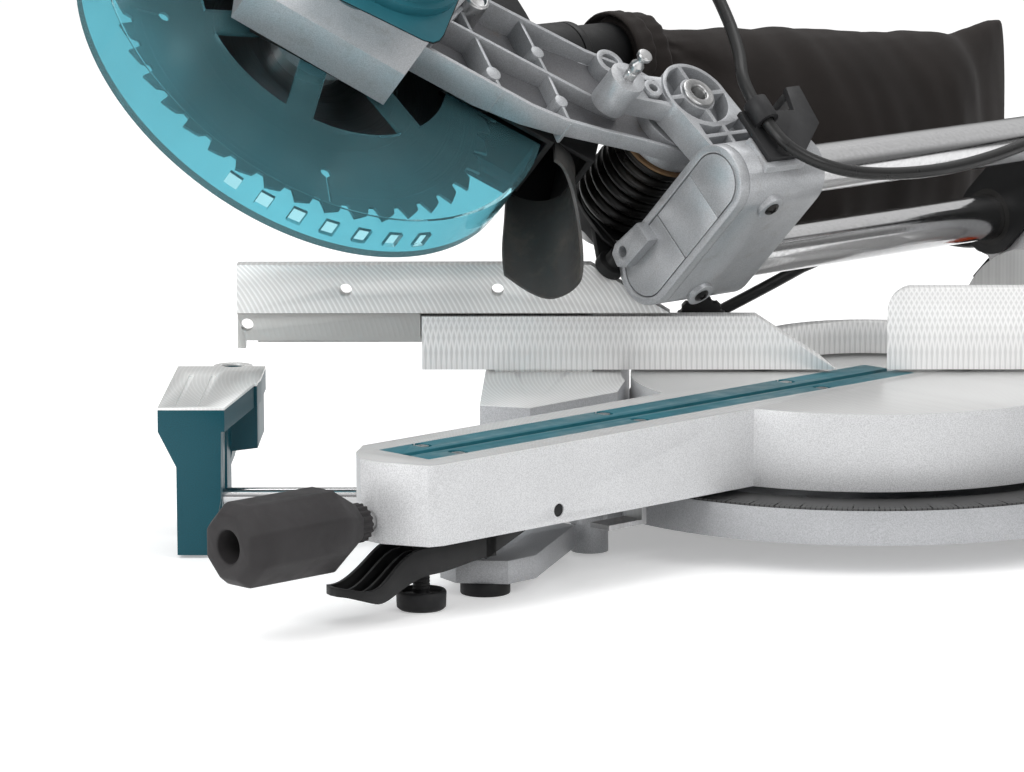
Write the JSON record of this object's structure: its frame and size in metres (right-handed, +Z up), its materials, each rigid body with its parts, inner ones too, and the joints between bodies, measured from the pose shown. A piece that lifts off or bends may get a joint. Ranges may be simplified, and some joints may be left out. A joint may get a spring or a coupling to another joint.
{
  "type": "sliding mitre saw",
  "caption": "Bench-top sliding compound mitre saw with turntable, twin rails, swinging guard, split fence, side supports and dust bag.",
  "frame": {"origin": "centre of the bench bolts at the bench top, on the turntable's pivot axis", "axes": "+X to the operator's right along the fence, +Y away from the operator, +Z up"},
  "size_m": [0.9326, 0.759, 0.5028],
  "materials": {
    "cast_silver": "metallic silver paint over cast aluminium",
    "cast_head": "darker metallic silver paint over cast aluminium",
    "machined": "bright machined faces",
    "teal_paint": "teal paint over cast aluminium",
    "teal_plastic": "teal moulded plastic",
    "black_plastic": "black moulded plastic",
    "grey_plastic": "dark grey moulded plastic",
    "orange_plastic": "orange moulded plastic",
    "bush_plastic": "plain bearing plastic",
    "clear_guard": "cyan tinted clear plastic",
    "chrome": "polished",
    "steel": "zinc plated or ground",
    "spring_steel": "blackened",
    "windings": "varnished copper and laminations",
    "rubber": "matt",
    "bag_cloth": "woven"
  },
  "bodies": {
    "base": {"base_casting": "cast_silver", "mitre_scale": "steel", "fence": "machined", "fence_bolts": "steel", "base_feet": "rubber", "pivot_bolt": "steel", "cord_lead": "rubber", "cord_coil": "rubber", "plug": "rubber"},
    "turntable": {"turntable": "cast_silver", "kerf_boards": "teal_plastic", "kerf_screws": "steel", "mitre_pointer": "orange_plastic", "detent_spring": "steel", "tilt_bolt": "steel"},
    "mitre_grip": {"mitre_grip": "black_plastic"},
    "lock_lever": {"lock_lever": "black_plastic"},
    "levelling_foot": {"levelling_foot": "rubber"},
    "upper_fence": {"upper_fence": "machined"},
    "fence_knob": {"fence_knob": "black_plastic"},
    "left_support": {"support_left": "teal_paint", "rods_left": "chrome"},
    "right_support": {"support_right": "teal_paint", "rods_right": "chrome"},
    "bevel_arm": {"bevel_arm": "cast_silver", "bevel_face_plate": "black_plastic", "rail_bushes": "bush_plastic", "bevel_pointer": "orange_plastic", "cord_rear": "rubber"},
    "bevel_lever": {"bevel_lever": "black_plastic"},
    "slide_knob": {"slide_knob": "black_plastic"},
    "carriage": {"carriage": "cast_head", "carriage_cap": "cast_head", "slide_rails": "chrome", "rail_end_plate": "cast_silver", "hinge_pin": "steel", "return_spring": "spring_steel", "cord_bracket": "black_plastic", "cord_loop": "rubber"},
    "stop_pin": {"stop_pin": "steel"},
    "head": {"head_arm": "cast_head", "blade_case": "black_plastic", "gear_housing": "cast_head", "motor_housing": "teal_plastic", "motor_cap": "black_plastic", "field_coil": "windings", "handle": "black_plastic", "dust_nozzle": "black_plastic", "dust_flap": "rubber", "dust_bag": "bag_cloth", "cord_gland": "rubber", "bearings": "steel", "cord_head": "rubber"},
    "trigger": {"trigger": "grey_plastic"},
    "lock_button": {"lock_button": "grey_plastic"},
    "blade": {"blade": "steel", "blade_flanges": "steel", "spindle": "steel"},
    "armature": {"armature": "windings"},
    "lower_guard": {"lower_guard": "clear_guard"}
  },
  "joints": [
    {"name": "mitre", "type": "hinge", "parent": "base", "child": "turntable", "pos_m": [0, 0, 0], "axis": [0, 0, 1], "range_deg": [-1, 91], "deforming": ["cord_lead"]},
    {"name": "bevel", "type": "hinge", "parent": "turntable", "child": "bevel_arm", "pos_m": [0, 0, 0.094], "axis": [0.7071, 0.7071, 0], "range_deg": [0, 50], "deforming": ["cord_lead"]},
    {"name": "slide", "type": "slide", "parent": "bevel_arm", "child": "carriage", "axis": [0.7071, 0.7071, 0], "range_m": [0, 0.24], "deforming": ["cord_loop"]},
    {"name": "chop", "type": "hinge", "parent": "carriage", "child": "head", "pos_m": [-0.14802, 0.02498, 0.21633], "axis": [0.5, -0.5, 0.7071], "range_deg": [0, 44.5], "stiffness_Nm_per_rad": 14, "springref_deg": -74.48, "deforming": ["return_spring", "cord_head"]},
    {"name": "blade_spin", "type": "hinge", "parent": "head", "child": "blade", "pos_m": [-0.35056, -0.05698, 0.30159], "axis": [0.5, -0.5, 0.7071], "continuous": true},
    {"name": "armature_spin", "type": "hinge", "parent": "head", "child": "armature", "pos_m": [-0.32981, -0.01238, 0.31846], "axis": [0.5, -0.5, 0.7071], "continuous": true},
    {"name": "guard_swing", "type": "hinge", "parent": "head", "child": "lower_guard", "pos_m": [-0.35056, -0.05698, 0.30159], "axis": [0.5, -0.5, 0.7071], "range_deg": [-145, 0]},
    {"name": "grip_turn", "type": "hinge", "parent": "turntable", "child": "mitre_grip", "pos_m": [0, 0, 0.0585], "axis": [-0.7071, -0.7071, 0], "range_deg": [-180, 180]},
    {"name": "detent_lever", "type": "hinge", "parent": "turntable", "child": "lock_lever", "pos_m": [-0.2192, -0.2192, 0.054], "axis": [0.7071, -0.7071, 0], "range_deg": [0, 3.5], "stiffness_Nm_per_rad": 3, "springref_deg": -8.59},
    {"name": "foot_screw", "type": "hinge", "parent": "turntable", "child": "levelling_foot", "pos_m": [-0.27224, -0.27224, 0.02], "axis": [0, 0, 1], "range_deg": [-180, 180]},
    {"name": "fence_slide", "type": "slide", "parent": "base", "child": "upper_fence", "axis": [-1, 0, 0], "range_m": [0, 0.06]},
    {"name": "fence_knob_turn", "type": "hinge", "parent": "upper_fence", "child": "fence_knob", "pos_m": [-0.105, 0.03, 0.122], "axis": [0, 1, 0], "range_deg": [-90, 90]},
    {"name": "left_support_slide", "type": "slide", "parent": "base", "child": "left_support", "axis": [1, 0, 0], "range_m": [0, 0.135]},
    {"name": "right_support_slide", "type": "slide", "parent": "base", "child": "right_support", "axis": [-1, 0, 0], "range_m": [0, 0.135]},
    {"name": "bevel_lever_turn", "type": "hinge", "parent": "turntable", "child": "bevel_lever", "pos_m": [0, 0, 0.094], "axis": [0.7071, 0.7071, 0], "range_deg": [0, 35]},
    {"name": "slide_knob_turn", "type": "hinge", "parent": "bevel_arm", "child": "slide_knob", "pos_m": [0.09922, 0.22322, 0.12653], "axis": [0.5, -0.5, 0.7071], "range_deg": [-90, 90]},
    {"name": "stop_pin_push", "type": "slide", "parent": "carriage", "child": "stop_pin", "axis": [-0.5, 0.5, -0.7071], "range_m": [0, 0.012]},
    {"name": "trigger_pull", "type": "slide", "parent": "head", "child": "trigger", "axis": [0.139, 0.8522, 0.5044], "range_m": [0, 0.005], "stiffness_N_per_m": 900, "springref_m": -0.003},
    {"name": "lock_button_press", "type": "slide", "parent": "head", "child": "lock_button", "axis": [-0.139, -0.8522, -0.5044], "range_m": [0, 0.003], "stiffness_N_per_m": 700, "springref_m": -0.003}
  ],
  "couplings": [
    {"joint": "armature_spin", "follows": "blade_spin", "ratio": -4.2},
    {"joint": "guard_swing", "follows": "chop", "ratio": -3.25}
  ]
}
